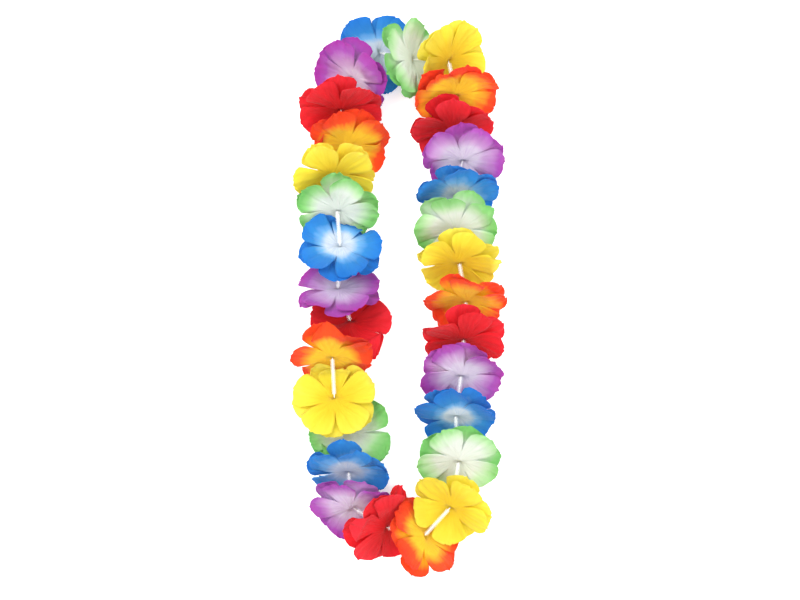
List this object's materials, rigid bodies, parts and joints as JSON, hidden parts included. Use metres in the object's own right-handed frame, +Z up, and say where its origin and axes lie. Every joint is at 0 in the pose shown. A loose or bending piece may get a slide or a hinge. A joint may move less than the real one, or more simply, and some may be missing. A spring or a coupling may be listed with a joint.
{
  "type": "fabric flower lei",
  "caption": "Long closed garland of two-layer fabric flowers in repeating colours, with clear straw spacers on a tied string, lying flat.",
  "frame": {"origin": "on the surface it lies on, under the middle of the loop's box", "axes": "+Y along the long loop, +X across it, +Z up from the surface"},
  "size_m": [0.1934, 0.4968, 0.0593],
  "materials": {
    "green_fabric": "thin woven polyester with a printed colour fade",
    "blue_fabric": "thin woven polyester with a printed colour fade",
    "purple_fabric": "thin woven polyester with a printed colour fade",
    "red_fabric": "thin woven polyester with a printed colour fade",
    "orange_fabric": "thin woven polyester with a printed colour fade",
    "yellow_fabric": "thin woven polyester with a printed colour fade",
    "clear_straw": "clear thin-walled plastic",
    "white_string": "twisted white cord"
  },
  "bodies": {
    "root": {"bloom_01_green": "green_fabric", "bloom_02_blue": "blue_fabric", "bloom_03_purple": "purple_fabric", "bloom_04_red": "red_fabric", "bloom_05_orange": "orange_fabric", "bloom_06_yellow": "yellow_fabric", "bloom_07_green": "green_fabric", "bloom_08_blue": "blue_fabric", "bloom_09_purple": "purple_fabric", "bloom_10_red": "red_fabric", "bloom_11_orange": "orange_fabric", "bloom_12_yellow": "yellow_fabric", "bloom_13_green": "green_fabric", "bloom_14_blue": "blue_fabric", "bloom_15_purple": "purple_fabric", "bloom_16_red": "red_fabric", "bloom_17_orange": "orange_fabric", "bloom_18_yellow": "yellow_fabric", "bloom_19_green": "green_fabric", "bloom_20_blue": "blue_fabric", "bloom_21_purple": "purple_fabric", "bloom_22_red": "red_fabric", "bloom_23_orange": "orange_fabric", "bloom_24_yellow": "yellow_fabric", "bloom_25_green": "green_fabric", "bloom_26_blue": "blue_fabric", "bloom_27_purple": "purple_fabric", "bloom_28_red": "red_fabric", "bloom_29_orange": "orange_fabric", "bloom_30_yellow": "yellow_fabric", "straw_01": "clear_straw", "straw_02": "clear_straw", "straw_03": "clear_straw", "straw_04": "clear_straw", "straw_05": "clear_straw", "straw_06": "clear_straw", "straw_07": "clear_straw", "straw_08": "clear_straw", "straw_09": "clear_straw", "straw_10": "clear_straw", "straw_11": "clear_straw", "straw_12": "clear_straw", "straw_13": "clear_straw", "straw_14": "clear_straw", "straw_15": "clear_straw", "straw_16": "clear_straw", "straw_17": "clear_straw", "straw_18": "clear_straw", "straw_19": "clear_straw", "straw_20": "clear_straw", "straw_21": "clear_straw", "straw_22": "clear_straw", "straw_23": "clear_straw", "straw_24": "clear_straw", "straw_25": "clear_straw", "straw_26": "clear_straw", "straw_27": "clear_straw", "straw_28": "clear_straw", "straw_29": "clear_straw", "string": "white_string"}
  },
  "joints": []
}
